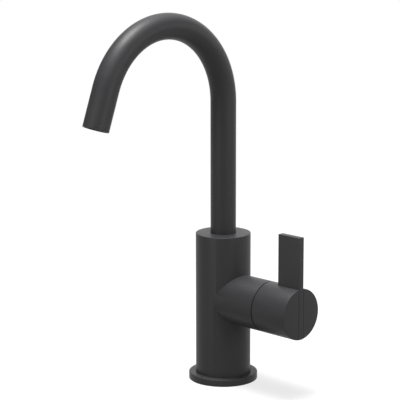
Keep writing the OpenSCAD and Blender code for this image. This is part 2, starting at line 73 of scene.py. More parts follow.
UPRIGHT = Matrix.Identity(4)  # the column's frame, whose Z is its axis
NOISE_RANGE = (0.3, 0.7)  # most values of a noise lie between these
MIX_FIRST, MIX_SECOND, MIX_RESULT = 6, 7, 2  # a Mix node's sockets for colours

Point = tuple[float, float]
Corner = tuple[float, float, float]
Colour = tuple[float, float, float]
Piece = bpy.types.Object
Socket = bpy.types.NodeSocket


class Body(str, Enum):
    """The bodies that new pieces ride on."""

    TAP = "tap_body"
    SPOUT = "spout"
    HANDLE = "handle"


class Slot(str, Enum):
    """The record's material slots."""

    COAT = "black_finish"
    BRASS = "cast_brass"
    STEEL = "stainless"
    RUBBER = "seal_rubber"
    NYLON = "bearing_nylon"
    PLASTIC = "cartridge_plastic"
    CERAMIC = "disc_ceramic"
    BLACK_PLASTIC = "black_plastic"


class Carving(str, Enum):
    """How one solid changes another."""

    CUT = "DIFFERENCE"
    FUSE = "UNION"


# Places


def turned(origin: Sequence[float], *degrees: float) -> Matrix:
    """A frame at an origin, turned by three angles in degrees, about X, Y and Z."""
    turn = Euler([radians(angle) for angle in degrees])
    return Matrix.Translation(origin) @ turn.to_matrix().to_4x4()


def along_handle(origin: Vector) -> Matrix:
    """A frame whose Z runs along the handle's axis, from the origin given."""
    return turned(origin, 0, 90, 0)


def across_handle(x: float) -> Matrix:
    """A frame whose X runs along +Y, its Y up and its Z along +X, from the x given."""
    return Matrix(((0, 0, 1, x), (1, 0, 0, 0), (0, 1, 0, 0), (0, 0, 0, 1)))


def joint_place(name: str) -> Vector:
    """The point, in metres, that a joint of the record turns about."""
    return next(Vector(joint["pos_m"]) for joint in frame["joints"] if joint["name"] == name)


# Meshes


def rounded_outline(corners: Sequence[Corner]) -> list[Point]:
    """Rounds the corners of a closed outline.

    Args:
        corners: Each corner's two coordinates and the radius that rounds it, which may be 0.

    Returns:
        The points of the rounded outline, in order.
    """
    points: list[Point] = []
    for index, (x, y, radius) in enumerate(corners):
        here = Vector((x, y))
        before = (Vector(corners[index - 1][:2]) - here).normalized()
        after = (Vector(corners[(index + 1) % len(corners)][:2]) - here).normalized()
        if radius <= 0:
            points.append((x, y))
            continue
        half = before.angle(after) / 2
        centre = here + (before + after).normalized() * radius / sin(half)
        start = here + before * radius / tan(half) - centre
        end = here + after * radius / tan(half) - centre
        for step in range(CORNER_STEPS + 1):
            arm = start.slerp(end, step / CORNER_STEPS).normalized() * radius
            points.append((centre.x + arm.x, centre.y + arm.y))
    return points


def arc(radius: float, first: float, last: float, steps: int) -> list[Point]:
    """Points on an arc about an outline's origin, between two angles from its axis."""
    angles = (first + (last - first) * k / steps for k in range(steps + 1))
    return [(radius * sin(t), radius * cos(t)) for t in angles]


def link(name: str, mesh: bmesh.types.BMesh) -> Piece:
    """Makes a scene object of a mesh, with its faces pointing outwards.

    Args:
        name: The object's name.
        mesh: The mesh, which is freed.

    Returns:
        The object, at the origin.
    """
    bmesh.ops.remove_doubles(mesh, verts=mesh.verts, dist=MEET)
    bmesh.ops.recalc_face_normals(mesh, faces=mesh.faces)
    data = bpy.data.meshes.new(name)
    mesh.to_mesh(data)
    mesh.free()
    piece = bpy.data.objects.new(name, data)
    bpy.context.scene.collection.objects.link(piece)
    return piece


def revolve(name: str, outline: Sequence[Point], place: Matrix) -> Piece:
    """Turns a closed outline about the Z axis of a frame.

    Args:
        name: The object's name.
        outline: Points of radius and height. Points on the axis become poles.
        place: The frame that the outline is turned in.

    Returns:
        The turned solid.
    """
    mesh = bmesh.new()
    turns = [(cos(t), sin(t)) for t in (tau * k / ROUND for k in range(ROUND))]
    rings = []
    for radius, height in outline:
        if radius < POLE:
            rings.append([mesh.verts.new(place @ Vector((0, 0, height)))] * ROUND)
        else:
            spots = (Vector((radius * c, radius * s, height)) for c, s in turns)
            rings.append([mesh.verts.new(place @ spot) for spot in spots])
    for lower, upper in zip(rings, rings[1:] + rings[:1]):
        for k in range(ROUND):
            after = (k + 1) % ROUND
            corners = list(dict.fromkeys((lower[k], lower[after], upper[after], upper[k])))
            if len(corners) > 2:
                mesh.faces.new(corners)
    return link(name, mesh)


def rod(name: str, radius: float, start: float, end: float, place: Matrix,
        start_edge: float = 0.0, end_edge: float = 0.0) -> Piece:
    """A cylinder on the Z axis of a frame, between two heights, with rims that may be rounded."""
    corners = (0, start, 0), (radius, start, start_edge), (radius, end, end_edge), (0, end, 0)
    return revolve(name, rounded_outline(corners), place)


def drill(name: str, start: Sequence[float], radius: float, reach: float) -> Piece:
    """The tool for a hole that runs from a point straight to the back, along +Y."""
    return rod(name, radius, 0, reach, turned(start, -90, 0, 0))


def prism(name: str, outline: Sequence[Point], depth: float, place: Matrix) -> Piece:
    """Extrudes an outline along the Z axis of a frame.

    Args:
        name: The object's name.
        outline: Points in the frame's XY plane, in order.
        depth: How far the outline runs along Z.
        place: The frame.

    Returns:
        The extruded solid.
    """
    mesh = bmesh.new()
    near = [mesh.verts.new(place @ Vector((x, y, 0))) for x, y in outline]
    far = [mesh.verts.new(place @ Vector((x, y, depth))) for x, y in outline]
    mesh.faces.new(near)
    mesh.faces.new(far)
    for index in range(len(outline)):
        after = (index + 1) % len(outline)
        mesh.faces.new((near[index], near[after], far[after], far[index]))
    return link(name, mesh)


def block(name: str, low: Vector, high: Vector) -> Piece:
    """A box between two corners, for cutting."""
    outline = [(low.x, low.y), (high.x, low.y), (high.x, high.y), (low.x, high.y)]
    return prism(name, outline, high.z - low.z, Matrix.Translation((0, 0, low.z)))


def bake(piece: Piece) -> None:
    """Applies a piece's modifiers to its mesh.

    Args:
        piece: The piece, which is left with no modifier.
    """
    graph = bpy.context.evaluated_depsgraph_get()
    data = bpy.data.meshes.new_from_object(piece.evaluated_get(graph))
    piece.modifiers.clear()
    piece.data = data


def weld(piece: Piece) -> None:
    """Merges the points that a cut leaves almost in one place.

    Args:
        piece: The cut piece.
    """
    mesh = bmesh.new()
    mesh.from_mesh(piece.data)
    bmesh.ops.remove_doubles(mesh, verts=mesh.verts, dist=WELD)
    bmesh.ops.dissolve_degenerate(mesh, edges=mesh.edges, dist=WELD)
    mesh.to_mesh(piece.data)
    mesh.free()


def carve(piece: Piece, how: Carving, *tools: Piece) -> None:
    """Cuts tools out of a piece or fuses them to it, and removes them.

    Args:
        piece: The solid that changes.
        how: Whether the tools are cut or fused.
        tools: The solids that change it.
    """
    for tool in tools:
        step = piece.modifiers.new("carve", "BOOLEAN")
        step.operation = how.value
        step.solver = "MANIFOLD"
        step.object = tool
        bake(piece)
        bpy.data.objects.remove(tool)
    weld(piece)


def soften(piece: Piece, width: float, limit: float = 40.0) -> None:
    """Rounds a piece's edges.

    Args:
        piece: The solid.
        width: How far the rounding reaches from each edge.
        limit: Only edges that turn by more than this angle are rounded, in degrees.
    """
    step = piece.modifiers.new("edges", "BEVEL")
    step.width = width
    step.segments = EDGE_STEPS
    step.limit_method = "ANGLE"
    step.angle_limit = radians(limit)
    bake(piece)


def smooth(piece: Piece, limit: float = 32.0) -> None:
    """Shades a piece smooth, but for edges that turn by more than the limit in degrees."""
    piece.data.shade_smooth()
    piece.data.set_sharp_from_angle(angle=radians(limit))


# Finishes


class Board:
    """A node tree that is filled node by node."""

    def __init__(self, tree: bpy.types.NodeTree) -> None:
        """Takes the tree and empties it."""
        self.tree = tree
        tree.nodes.clear()

    def add(self, kind: str, inputs: dict | None = None, **settings: object) -> bpy.types.Node:
        """Adds a node.

        Args:
            kind: The node's type.
            inputs: Values or sockets for its inputs, by name or number.
            settings: Values of its own properties.

        Returns:
            The node.
        """
        node = self.tree.nodes.new(kind)
        for key, value in settings.items():
            setattr(node, key, value)
        for key, value in (inputs or {}).items():
            if isinstance(value, Socket):
                self.tree.links.new(value, node.inputs[key])
            else:
                node.inputs[key].default_value = value
        return node

    def out(self, kind: str, inputs: dict | None = None, **settings: object) -> Socket:
        """The first output of a node that is added in the same way."""
        return self.add(kind, inputs, **settings).outputs[0]

    def sum_of(self, how: str, *values: float | Socket) -> Socket:
        """One step of arithmetic, such as MULTIPLY, with its one to three operands."""
        return self.out("ShaderNodeMath", dict(enumerate(values)), operation=how)

    def noise(self, place: Socket, grain: float, detail: float, rough: float = 0.5,
              dimensions: str = "3D") -> Socket:
        """A noise that is read at a place, with the size of its grains and its finer layers."""
        sizes = {"Vector": place, "Scale": 1 / grain, "Detail": detail, "Roughness": rough}
        return self.add("ShaderNodeTexNoise", sizes, noise_dimensions=dimensions).outputs["Fac"]

    def blend(self, share: Socket, first: Sequence[float], second: Sequence[float]) -> Socket:
        """A mix of two colours, by the second colour's share."""
        colours = {"Factor": share, MIX_FIRST: first, MIX_SECOND: second}
        return self.add("ShaderNodeMix", colours, data_type="RGBA").outputs[MIX_RESULT]


def blank(owner: bpy.types.Material | bpy.types.World) -> Board:
    """Turns on the nodes of a material or a world and empties their tree."""
    owner.use_nodes = True
    return Board(owner.node_tree)


def grey(level: float) -> tuple[float, float, float, float]:
    """A grey, as a colour socket takes it."""
    return (level, level, level, 1)


@dataclass(frozen=True)
class Finish:
    """A surface with a grain: its colour and gloss drift a little, and it has a fine relief.

    Attributes:
        slot: The record's slot that it dresses.
        colour: Its colour, linear.
        roughness: Its mean roughness.
        metallic: 1 for bare metal.
        specular: The strength of its reflection, 0.5 for plain lacquer.
        drift: How far the colour drifts, as a share of it.
        gloss_drift: How far the roughness drifts.
        patch: The size of the patches that the drift makes.
        grain: The size of the relief's grains.
        relief: The height of the relief.
        polish: The weight of the clear gloss over lapped ceramic.
        polish_roughness: The roughness of that gloss.
    """

    slot: Slot
    colour: Colour
    roughness: float
    metallic: float = 0.0
    specular: float = 0.5
    drift: float = 0.06
    gloss_drift: float = 0.04
    patch: float = 14 * MM
    grain: float = 0.4 * MM
    relief: float = 0.004 * MM
    polish: float = 0.0
    polish_roughness: float = 0.03

    def relief_socket(self, board: Board, place: Socket) -> Socket:
        """The height of the relief, from 0 to 1, at a place on the surface."""
        return board.noise(place, self.grain, detail=2.0)

    @lru_cache(maxsize=None)
    def material(self, axis: tuple[float, ...]) -> bpy.types.Material:
        """Makes the material.

        Args:
            axis: The place and turn, in radians, of the axis that a turned pattern runs round.

        Returns:
            The material, made once for each axis.
        """
        made = bpy.data.materials.new(self.slot.value)
        board = blank(made)
        spot = board.add("ShaderNodeTexCoord").outputs["Object"]
        pattern = board.out("ShaderNodeMapping", {
            "Vector": spot, "Location": axis[:3], "Rotation": axis[3:],
        }, vector_type="TEXTURE")
        cloud = board.noise(spot, self.patch, detail=3.0)
        height = self.relief_socket(board, pattern)
        dark = [part * (1 - self.drift) for part in self.colour] + [1]
        light = [part * (1 + self.drift) for part in self.colour] + [1]
        half_cloud = board.sum_of("MULTIPLY", cloud, 0.5)
        low, high = NOISE_RANGE
        roughness = board.out("ShaderNodeMapRange", {
            "Value": board.sum_of("MULTIPLY_ADD", height, 0.5, half_cloud),
            "From Min": low, "From Max": high,
            "To Min": self.roughness - self.gloss_drift,
            "To Max": self.roughness + self.gloss_drift,
        })
        reliefs = {"Height": height, "Strength": 1.0, "Distance": self.relief}
        bump = board.out("ShaderNodeBump", reliefs)
        shader = board.out("ShaderNodeBsdfPrincipled", {
            "Base Color": board.blend(cloud, dark, light), "Roughness": roughness, "Normal": bump,
            "Metallic": self.metallic, "Specular IOR Level": self.specular,
            "Coat Weight": self.polish, "Coat Roughness": self.polish_roughness,
        })
        board.add("ShaderNodeOutputMaterial", {"Surface": shader})
        return made


@dataclass(frozen=True)
class PowderCoat(Finish):
    """A sprayed matt coat: fine pits over a soft orange peel.

    Attributes:
        peel: The size of the peel's waves.
        pit_share: The pits' share of the relief. The rest is the peel's.
    """

    peel: float = 2.2 * MM
    pit_share: float = 0.45

    def relief_socket(self, board: Board, place: Socket) -> Socket:
        """The height of the pits and the peel together, from 0 to 1."""
        pits = board.noise(place, self.grain, detail=3.0, rough=0.6)
        return board.sum_of("MULTIPLY_ADD", pits, self.pit_share, board.sum_of(
            "MULTIPLY", board.noise(place, self.peel, detail=1.0), 1 - self.pit_share))


@dataclass(frozen=True)
class TurnedMetal(Finish):
    """Bare metal with the fine rings that a lathe leaves, round its axis.

    Attributes:
        feed: The distance between the rings.
    """

    feed: float = 0.16 * MM

    def relief_socket(self, board: Board, place: Socket) -> Socket:
        """Makes rings that follow the distance from the axis and the height along it.

        Args:
            board: The material's board.
            place: The place, in the frame of the axis.

        Returns:
            The height of the relief, from 0 to 1.
        """
        part = board.add("ShaderNodeSeparateXYZ", {0: place}).outputs
        flat = board.out("ShaderNodeCombineXYZ", {"X": part["X"], "Y": part["Y"]})
        reach = board.add("ShaderNodeVectorMath", {0: flat}, operation="LENGTH").outputs["Value"]
        across = board.out("ShaderNodeCombineXYZ", {"X": reach, "Y": part["Z"]})
        return board.noise(across, self.feed, detail=2.0, dimensions="2D")


@dataclass(frozen=True)
class MouldedPlastic(Finish):
    """Moulded plastic, rubber or nylon with the fine spark finish of its mould."""

    def relief_socket(self, board: Board, place: Socket) -> Socket:
        """The mould's shallow pits."""
        cells = {"Vector": place, "Scale": 1 / self.grain, "Smoothness": 0.6}
        return board.add("ShaderNodeTexVoronoi", cells, feature="SMOOTH_F1").outputs["Distance"]


COAT = PowderCoat(Slot.COAT, (0.035, 0.035, 0.0368), 0.42,
                  specular=0.2, grain=0.35 * MM, relief=0.012 * MM)
BRASS = TurnedMetal(Slot.BRASS, (0.58, 0.42, 0.17), 0.3, metallic=1.0, drift=0.1)
STEEL = TurnedMetal(Slot.STEEL, (0.56, 0.57, 0.58), 0.26,
                    metallic=1.0, feed=0.1 * MM, relief=0.003 * MM)
RUBBER = MouldedPlastic(Slot.RUBBER, (0.02, 0.02, 0.02), 0.62, drift=0.15, relief=0.01 * MM)
NYLON = MouldedPlastic(Slot.NYLON, (0.75, 0.74, 0.7), 0.42, drift=0.03)
PLASTIC = MouldedPlastic(Slot.PLASTIC, (0.3, 0.31, 0.33), 0.45)
CERAMIC = Finish(Slot.CERAMIC, (0.82, 0.79, 0.74), 0.12,
                 drift=0.03, relief=0.001 * MM, polish=0.3, polish_roughness=0.08)
BLACK_PLASTIC = MouldedPlastic(Slot.BLACK_PLASTIC, (0.03, 0.03, 0.032), 0.55, grain=0.3 * MM)


def finished(finish: Finish, where: Matrix) -> bpy.types.Material:
    """A finish's material, for a frame whose Z axis a turned pattern runs round."""
    return finish.material((*where.to_translation(), *where.to_euler()))


def dress(finishes: dict[str, Finish], where: Matrix = UPRIGHT) -> Iterator[Piece]:
    """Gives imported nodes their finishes.

    Args:
        finishes: Each node's name and finish.
        where: The frame whose Z axis a turned pattern runs round.

    Returns:
        Each node's object in turn.
    """
    for node, finish in finishes.items():
        piece = frame["nodes"][node]
        piece.data.materials.clear()
        piece.data.materials.append(finished(finish, where))
        yield piece


def stand_in(piece: Piece, body: Body, finish: Finish, *nodes: str) -> Piece:
    """Finishes a new piece, which rides on a body and replaces the nodes named.

    Args:
        piece: The finished solid.
        body: The body that it rides on.
        finish: Its finish.
        nodes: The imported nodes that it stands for.

    Returns:
        The piece.
    """
    piece.data.materials.clear()
    piece.data.materials.append(finished(finish, UPRIGHT))
    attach(piece, body.value)
    if nodes:
        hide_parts(*nodes)
    return piece


# Shapes that follow a rule


class ShapeTree(Board):
    """A tree of geometry nodes with named sizes, which ends in real meshes with a material."""

    def __init__(self, name: str, sizes: dict[str, float]) -> None:
        """Makes the tree.

        Args:
            name: The tree's name.
            sizes: The name and value of each of its inputs.
        """
        super().__init__(bpy.data.node_groups.new(name, "GeometryNodeTree"))
        face = self.tree.interface
        self.values: dict[str, float] = {}
        for size, value in sizes.items():
            socket = face.new_socket(size, in_out="INPUT", socket_type="NodeSocketFloat")
            self.values[socket.identifier] = value
        face.new_socket("Geometry", in_out="OUTPUT", socket_type="NodeSocketGeometry")
        self.given = self.add("NodeGroupInput").outputs

    def grow(self, name: str, shape: Socket, finish: Finish) -> Piece:
        """Ends the tree, runs it and keeps the result as a plain mesh.

        Args:
            name: The piece's name.
            shape: The socket that holds the shape.
            finish: The piece's finish.

        Returns:
            The piece, with no modifier left on it.
        """
        real = self.out("GeometryNodeRealizeInstances", {0: shape})
        material = finished(finish, UPRIGHT)
        dressed = self.out("GeometryNodeSetMaterial", {0: real, "Material": material})
        self.add("NodeGroupOutput", {0: dressed})
        piece = bpy.data.objects.new(name, bpy.data.meshes.new(name))
        bpy.context.scene.collection.objects.link(piece)
        step = piece.modifiers.new("shape", "NODES")
        step.node_group = self.tree
        for identifier, value in self.values.items():
            step[identifier] = value
        bake(piece)
        return piece


def bent_tube(name: str, sizes: dict[str, float], steps: int, sides: int) -> Piece:
    """Sweeps a circle up a straight, round a bend towards -Y and along a straight end.

    Args:
        name: The piece's name.
        sizes: Start height, Riser, Bend radius, Bend angle, End length and Radius.
        steps: Rings along the tube.
        sides: Faces round it.

    Returns:
        The tube's outer surface, open at both ends.
    """
    tree = ShapeTree(name, sizes)
    size, sum_of = tree.given, tree.sum_of
    bend = sum_of("MULTIPLY", size["Bend radius"], size["Bend angle"])
    length = sum_of("ADD", sum_of("ADD", size["Riser"], bend), size["End length"])
    line = tree.out("GeometryNodeCurvePrimitiveLine")
    points = tree.out("GeometryNodeResampleCurve", {0: line, "Count": steps})
    share = tree.add("GeometryNodeSplineParameter").outputs["Factor"]
    run = sum_of("MULTIPLY", share, length)
    rise = sum_of("MINIMUM", run, size["Riser"])
    past = sum_of("SUBTRACT", run, size["Riser"])
    bent = sum_of("MAXIMUM", sum_of("DIVIDE", past, size["Bend radius"]), 0.0)
    angle = sum_of("MINIMUM", bent, size["Bend angle"])
    end = sum_of("MAXIMUM", sum_of("SUBTRACT", past, bend), 0.0)
    sine, cosine = sum_of("SINE", angle), sum_of("COSINE", angle)
    end_drop, end_reach = (sum_of("MULTIPLY", end, part) for part in (cosine, sine))
    top = sum_of("MULTIPLY_ADD", size["Bend radius"], sine, end_drop)
    height = sum_of("ADD", sum_of("ADD", size["Start height"], rise), top)
    versine = sum_of("SUBTRACT", 1.0, cosine)
    reach = sum_of("MULTIPLY_ADD", size["Bend radius"], versine, end_reach)
    forward = sum_of("MULTIPLY", reach, -1.0)
    spot = tree.out("ShaderNodeCombineXYZ", {"Y": forward, "Z": height})
    path = tree.out("GeometryNodeSetPosition", {0: points, "Position": spot})
    ring = {"Resolution": sides, "Radius": size["Radius"]}
    circle = tree.out("GeometryNodeCurvePrimitiveCircle", ring)
    return tree.grow(name, tree.out("GeometryNodeCurveToMesh", {0: path, 1: circle}), COAT)


def thread(name: str, radius: float, pitch: float, depth: float, ridge: float) -> Piece:
    """The ridge of a thread inside a bore that opens downwards at height 0.

    Args:
        name: The piece's name.
        radius: The bore's radius.
        pitch: The rise of each turn.
        depth: How deep the thread goes.
        ridge: Half the ridge's height.

    Returns:
        The helical ridge, on the Z axis.
    """
    tree = ShapeTree(name, {"Radius": radius, "Pitch": pitch, "Depth": depth, "Ridge": ridge})
    size = tree.given
    climb = tree.sum_of("SUBTRACT", size["Depth"], size["Pitch"])
    spiral = tree.out("GeometryNodeCurveSpiral", {
        "Resolution": THREAD_STEPS, "Rotations": tree.sum_of("DIVIDE", climb, size["Pitch"]),
        "Start Radius": size["Radius"], "End Radius": size["Radius"], "Height": climb,
    })
    half_turn = tree.sum_of("MULTIPLY", size["Pitch"], 0.5)
    lift = tree.out("ShaderNodeCombineXYZ", {"Z": half_turn})
    path = tree.out("GeometryNodeSetPosition", {0: spiral, "Offset": lift})
    steady = tree.out("GeometryNodeSetCurveNormal", {0: path}, mode="Z_UP")
    ring = {"Resolution": RIDGE_SIDES, "Radius": size["Ridge"]}
    profile = tree.out("GeometryNodeCurvePrimitiveCircle", ring)
    swept = {0: steady, 1: profile, "Fill Caps": True}
    return tree.grow(name, tree.out("GeometryNodeCurveToMesh", swept), BRASS)


# The tap


@dataclass
class Column:
    """The column with its side housing, and the ring at its foot.

    Attributes:
        top_edge: Rounding of the column's top edge.
        housing_rounding: Rounding of the housing's end.
        ring_rounding: Rounding of the ring's top edge.
        ring_foot: Rounding of the ring's bottom edge.
        inner_edge: Rounding of the ring's edge at the column.
        wall: The wall of the column.
        top_plate: The thickness of its top.
        socket_gap: The gap round the spout in the top.
        chamber_gap: The gap round the cartridge.
        ring_gap: The gap between the ring and the column.
        groove: The width of the seal's groove.
    """

    top_edge: float = 0.45 * MM
    housing_rounding: float = 0.2 * MM
    ring_rounding: float = 0.7 * MM
    ring_foot: float = 0.35 * MM
    inner_edge: float = 0.15 * MM
    wall: float = 3.0 * MM
    top_plate: float = 5.0 * MM
    socket_gap: float = 0.08 * MM
    chamber_gap: float = 0.2 * MM
    ring_gap: float = 0.1 * MM
    groove: float = 2.5 * MM

    def __post_init__(self) -> None:
        """Reads the sizes of the shell and the ring from the frame."""
        low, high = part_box("body_shell")
        self.foot, self.top = low.z, high.z
        self.radius = -low.x
        self.housing_end = high.x
        self.housing_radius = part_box("handle_barrel")[1].y
        self.socket_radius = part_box("spout_tube")[1].x + self.socket_gap
        self.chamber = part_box("cartridge_body")[1].y + self.chamber_gap
        self.thread_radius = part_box("retaining_nut")[1].y + FIT
        self.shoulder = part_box("retaining_nut")[0].x
        self.ring_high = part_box("base_ring")[1]
        self.seal_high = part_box("base_seal")[1]

    def shell(self) -> Piece:
        """Builds the column and the housing as one hollow casting.

        Returns:
            The casting.
        """
        inside = self.radius - self.wall
        ceiling = self.top - self.top_plate
        sleeve = rod("body_shell_black", self.radius, self.foot, self.top, UPRIGHT,
                     end_edge=self.top_edge)
        level = along_handle(Vector((0, 0, joint_place("temperature_turn").z)))
        housing = rod("housing", self.housing_radius, 0, self.housing_end, level,
                      end_edge=self.housing_rounding)
        carve(sleeve, Carving.FUSE, housing)
        hollow = rod("hollow", inside, self.foot - OVERRUN, ceiling, UPRIGHT)
        socket = rod("socket", self.socket_radius,
                     ceiling - OVERRUN, self.top + OVERRUN, UPRIGHT)
        mouth = self.housing_end + OVERRUN
        chamber = revolve("chamber", [
            (0, 0), (self.chamber, 0), (self.chamber, self.shoulder),
            (self.thread_radius, self.shoulder), (self.thread_radius, mouth), (0, mouth),
        ], level)
        low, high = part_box("spout_stop_screw")
        spot = (0, 0, (low.z + high.z) / 2)
        hole = drill("screw_hole", spot, high.x + FIT, self.radius + OVERRUN)
        carve(sleeve, Carving.CUT, hollow, socket, chamber, hole)
        smooth(sleeve)
        return stand_in(sleeve, Body.TAP, COAT, "body_shell")

    def ring(self) -> Piece:
        """Builds the ring round the foot, with the seal's groove below.

        Returns:
            The ring.
        """
        inside = self.radius - self.wall
        outer, top = self.ring_high.x, self.ring_high.z
        groove_out = self.seal_high.x + FIT
        groove_in = groove_out - self.groove
        recess = self.radius + self.ring_gap
        ring = revolve("base_ring_black", rounded_outline([
            (inside, 0, 0), (groove_in, 0, 0), (groove_in, self.seal_high.z, 0),
            (groove_out, self.seal_high.z, 0), (groove_out, 0, 0), (outer, 0, self.ring_foot),
            (outer, top, self.ring_rounding), (recess, top, self.inner_edge),
            (recess, self.foot, 0), (inside, self.foot, 0),
        ]), UPRIGHT)
        smooth(ring)
        return stand_in(ring, Body.TAP, COAT, "base_ring")

    def build(self) -> Iterator[Piece]:
        """Builds the shell and the ring, and dresses the seal and the screw."""
        yield from (self.shell(), self.ring())
        yield from dress({"base_seal": RUBBER, "spout_stop_screw": STEEL})


@dataclass
class Waterway:
    """The brass core inside the column, with the threads that open in its foot.

    Attributes:
        hose_pitch: The pitch of the hoses' threads.
        stud_pitch: The pitch of the fixing stud's thread.
        ridge: Half the height of a thread's ridge, as a share of its pitch.
    """

    hose_pitch: float = 1.0 * MM
    stud_pitch: float = 1.25 * MM
    ridge: float = 0.3

    def build(self) -> Iterator[Piece]:
        """Dresses the core and builds the ridges of its threads.

        Returns:
            Each piece in turn.
        """
        yield from dress({"waterway_core": BRASS})
        for mount in frame["record"]["mounts"]:
            if mount["kind"] != "threaded_hole":
                continue
            name, (x, y, _) = mount["name"], mount["pos_m"]
            radius, depth = (mount["dims"][size] * MM for size in ("r_mm", "length_mm"))
            pitch = self.stud_pitch if name == "fixing_stud" else self.hose_pitch
            ridge = thread(name + "_thread", radius, pitch, depth, pitch * self.ridge)
            ridge.data.transform(Matrix.Translation((x, y, 0)))
            yield stand_in(ridge, Body.TAP, BRASS)
        yield from dress({"spout_thrust_washer": NYLON})


@dataclass
class Cartridge:
    """The ceramic cartridge in the side housing, and the dome that covers it.

    Attributes:
        dome_wall: The dome's wall.
        dome_gap: How far the dome stands back from the housing's corner.
        dome_steps: Straight steps along its arc.
    """

    dome_wall: float = 1.6 * MM
    dome_gap: float = 0.95 * MM
    dome_steps: int = 24

    def dome(self) -> Piece:
        """Builds the ball-shaped cover behind the handle's barrel.

        Returns:
            The cover.
        """
        pivot = joint_place("flow_tilt")
        low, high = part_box("dome_cover")
        housing_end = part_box("body_shell")[1].x - pivot.x
        ball = hypot(housing_end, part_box("handle_barrel")[1].y) - self.dome_gap
        skirt, foot, crown = high.y, low.x - pivot.x, high.x - pivot.x
        rim = acos(crown / ball)
        edge = acos(housing_end / ball)
        outline = [(skirt - self.dome_wall, foot), (skirt, foot), (skirt, housing_end)]
        outline += arc(ball, edge, rim, self.dome_steps)
        outline += arc(ball - self.dome_wall, rim, edge, self.dome_steps)
        piece = revolve("dome_cover_black", outline, along_handle(pivot))
        smooth(piece)
        return stand_in(piece, Body.TAP, COAT, "dome_cover")

    def build(self) -> Iterator[Piece]:
        """Builds the cover and dresses what is inside."""
        yield self.dome()
        yield from dress({
            "cartridge_base": PLASTIC, "cartridge_seals": RUBBER, "fixed_disc": CERAMIC,
            "cartridge_body": PLASTIC, "retaining_nut": BRASS, "cartridge_rotor": NYLON,
            "rotor_o_ring": RUBBER, "pivot_pin": STEEL, "moving_disc": CERAMIC,
            "disc_carrier": PLASTIC,
        }, along_handle(joint_place("flow_tilt")))


